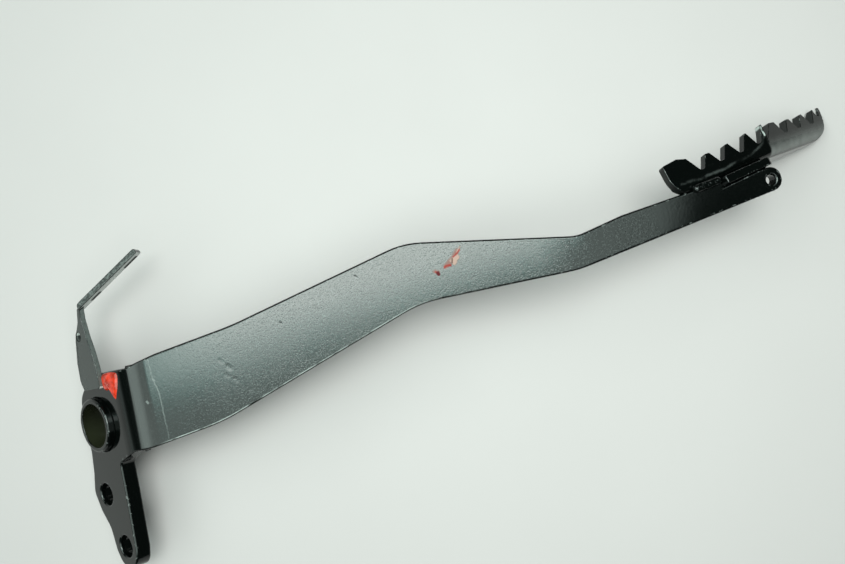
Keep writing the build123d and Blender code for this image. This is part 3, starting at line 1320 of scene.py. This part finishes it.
@dataclass
class Studio:
    """Floor, soft light and camera.

    Attributes:
        floor_z, floor_half: Height of the floor and half its side, in metres in the row frame.
        camera_at: Place of the camera in the arm's frame.
        camera_roll: Turn of the picture about the camera's axis, in degrees.
        camera_clip: Distance in metres from which the camera sees.
        sensor, lens: Width of the camera's sensor, and focal length.
        lowest: Least height of a sky direction, so that slopes stay finite.
        lamp: Large soft lamp over the arm.
        window: Bright part past the bend.
        ceiling: Paler part beside the lamp.
        skirt, skirt_from: Brightness of the sky low on the left, and span over which it begins.
        room: Brightness of everything else.
        lamp_tint, rim_tint: Colours of the lamp's middle and of its rim.
        room_tint: Colour of the rest of the sky.
    """

    floor_z: float
    floor_half: float = 12.0
    camera_at: tuple[float, float, float] = (108.0, 26.0, 405.0)
    camera_roll: float = 12.0
    camera_clip: float = 0.01
    sensor: float = 36.0
    lens: float = 50.0
    lowest: float = 0.04
    lamp: SkyPatch = SkyPatch(
        12.3, left=(-0.37, -0.14), right=(0.4, 0.2), low=(-0.053, 0.027), top=(0.6, 0.3), slant=0.36
    )
    window: SkyPatch = SkyPatch(
        3.9, left=(-1.9, -1.15), right=(-0.2, -0.85), low=(-1.2, -0.6), top=(1.2, 0.6)
    )
    ceiling: SkyPatch = SkyPatch(
        2.2, left=(-1.3, -0.9), right=(0.59, 0.56), low=(-0.7, -0.45), top=(0.8, 0.55)
    )
    skirt: float = 0.6
    skirt_from: Span = (-2.8, -8.0)
    room: float = 0.03
    lamp_tint: Colour = (0.9, 1.0, 0.945)
    rim_tint: Colour = (0.55, 1.0, 0.92)
    room_tint: Colour = (0.83, 1.0, 0.935)

    def axes(self) -> tuple[Vector, Vector, Vector]:
        """Directions to the picture's right, to its top and to the camera, in the row frame."""
        rolled = ARM_FRAME.turn() @ Matrix.Rotation(math.radians(-self.camera_roll), 3, "Z")
        return rolled @ X_AXIS, rolled @ Y_AXIS, rolled @ Z_AXIS

    def place_camera(self) -> None:
        """Put the camera over the arm."""
        data = bpy.data.cameras.new("camera")
        data.sensor_fit = "HORIZONTAL"
        data.sensor_width = self.sensor
        data.lens = self.lens
        data.clip_start = self.camera_clip
        camera = bpy.data.objects.new("camera", data)
        axes = Matrix(self.axes()).transposed()
        place = Matrix.Translation(ARM_FRAME.point(Vector(self.camera_at)))
        camera.matrix_world = place @ axes.to_4x4()
        bpy.context.scene.collection.objects.link(camera)
        bpy.context.scene.camera = camera

    def lay_floor(self) -> None:
        """Lay the floor."""
        mesh = bmesh.new()
        bmesh.ops.create_grid(mesh, x_segments=1, y_segments=1, size=self.floor_half)
        data = bpy.data.meshes.new("floor")
        mesh.to_mesh(data)
        mesh.free()
        data.materials.append(FloorFinish("floor").make())
        floor = bpy.data.objects.new("floor", data)
        floor.location.z = self.floor_z
        bpy.context.scene.collection.objects.link(floor)
        floor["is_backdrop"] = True

    def light(self) -> None:
        """Light the scene by a soft sky: a slanted lamp over the arm and paler parts beside it."""
        world = bpy.data.worlds.new("studio")
        world.use_nodes = True
        bpy.context.scene.world = world
        graph = Graph(world.node_tree)
        way = graph.heading()
        across, upward, back = self.axes()
        height = graph.dot(way, back).at_least(self.lowest)
        right = graph.dot(way, across) / height
        up = graph.dot(way, upward) / height
        share = self.lamp.share(right, up)
        lamp = share * self.lamp.glow
        beside = right.ramp(*self.skirt_from) * self.skirt
        for patch in (self.ceiling, self.window):
            beside = beside.at_least(patch.share(right, up) * patch.glow)
        lit = graph.mix(share, self.rim_tint, self.lamp_tint)
        colour = graph.mix(lamp.above(beside), self.room_tint, lit)
        glow = lamp.at_least(beside) + self.room
        sky = graph.node("ShaderNodeBackground", None, {"Color": colour, "Strength": glow})
        graph.output("ShaderNodeOutputWorld", sky.outputs[0])

    def set_up(self) -> None:
        """Build the whole set."""
        self.place_camera()
        self.lay_floor()
        self.light()
        view = bpy.context.scene.view_settings
        view.view_transform = "Standard"
        view.look = "None"


class Pedal:
    """The whole pedal, piece by piece."""

    def __init__(self) -> None:
        """Choose each piece's finish, edge and rounding."""
        arm_edge = WornEdge("arm_edge", rest=0.28)
        tab_edge = WornEdge("tab_edge", worn=0.2, rest=0.1, patch=2.5)
        pad_edge = WornEdge("pad_edge", worn=0.2, rest=0.35, patch=3.0)
        rim_edge = WornEdge("tube_rim", worn=0.3, rest=0.3, patch=8.0)
        bead = Finish("weld_paint", peel=Grain(3.4), peel_depth=0.7, dust=0.12)
        self.sheets = [
            SheetPart("pedal_arm", ArmFinish("arm_paint"), arm_edge, 0.75),
            SheetPart("stop_tab", TabFinish("tab_paint"), tab_edge, 0.25, Crease.SHEET),
            SheetPart("foot_pad", PadFinish("pad_paint"), pad_edge, 0.22),
            SheetPart("pad_support", Finish("support_paint"), pad_edge, 0.4),
            SheetPart("pivot_tube", TubeFinish("tube_paint"), rim_edge, 0.3),
            SheetPart("tube_weld", bead),
            SheetPart("pad_weld", bead),
        ]
        self.dab = PaintDab()

    def build(self, nodes: dict[str, bpy.types.Object]) -> None:
        """Dress every node and add the paint dab.

        Args:
            nodes: The frame's CAD nodes.
        """
        for sheet in self.sheets:
            LOG.info("dressed %s", sheet.dress(nodes))
        LOG.info("built %s", self.dab.build().name)


def corners() -> list[list[float]]:
    """Lowest and highest corner of what is shown, as plain lists."""
    return [list(corner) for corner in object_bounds()]


def main() -> None:
    """Load the frame, dress the pedal and set the studio, with the floor at the frame's lowest point.
    """
    logging.basicConfig(level=logging.INFO)
    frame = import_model()
    cad_box = corners()
    Pedal().build(frame["nodes"])
    Studio(cad_box[0][2]).set_up()
    bpy.context.view_layer.update()


if __name__ == "__main__":
    main()
